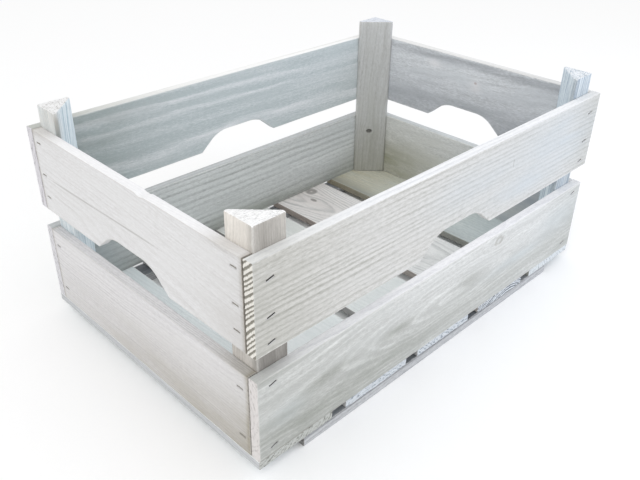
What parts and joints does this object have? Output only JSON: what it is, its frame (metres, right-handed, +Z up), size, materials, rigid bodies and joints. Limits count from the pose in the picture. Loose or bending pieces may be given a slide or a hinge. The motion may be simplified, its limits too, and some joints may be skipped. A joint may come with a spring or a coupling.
{
  "type": "wooden apple crate",
  "caption": "Open slatted fruit crate of limed softwood boards stapled to three-cornered posts, on two laths, with a hand-hold in each upper board; it stacks on its posts.",
  "frame": {"origin": "middle of the crate, on the surface that it stands on", "axes": "+X along the long sides, +Y from the front to the back, +Z up"},
  "size_m": [0.6, 0.4, 0.283],
  "materials": {
    "long_wall_wood": "limed matte",
    "end_wall_wood": "limed matte",
    "post_wood": "limed matte",
    "floor_wood": "limed matte",
    "staple_wire": "dull wire"
  },
  "bodies": {
    "root": {"front_left_post": "post_wood", "front_right_post": "post_wood", "back_left_post": "post_wood", "back_right_post": "post_wood", "front_lower_board": "long_wall_wood", "back_lower_board": "long_wall_wood", "left_lower_board": "end_wall_wood", "right_lower_board": "end_wall_wood", "front_upper_board": "long_wall_wood", "back_upper_board": "long_wall_wood", "left_upper_board": "end_wall_wood", "right_upper_board": "end_wall_wood", "floor_slat_1": "floor_wood", "floor_slat_2": "floor_wood", "floor_slat_3": "floor_wood", "floor_slat_4": "floor_wood", "floor_slat_5": "floor_wood", "front_lath": "floor_wood", "back_lath": "floor_wood", "front_lower_staples": "staple_wire", "back_lower_staples": "staple_wire", "left_lower_staples": "staple_wire", "right_lower_staples": "staple_wire", "front_upper_staples": "staple_wire", "back_upper_staples": "staple_wire", "left_upper_staples": "staple_wire", "right_upper_staples": "staple_wire", "floor_slat_1_staples": "staple_wire", "floor_slat_2_staples": "staple_wire", "floor_slat_3_staples": "staple_wire", "floor_slat_4_staples": "staple_wire", "floor_slat_5_staples": "staple_wire", "front_lath_staples": "staple_wire", "back_lath_staples": "staple_wire"}
  },
  "joints": []
}
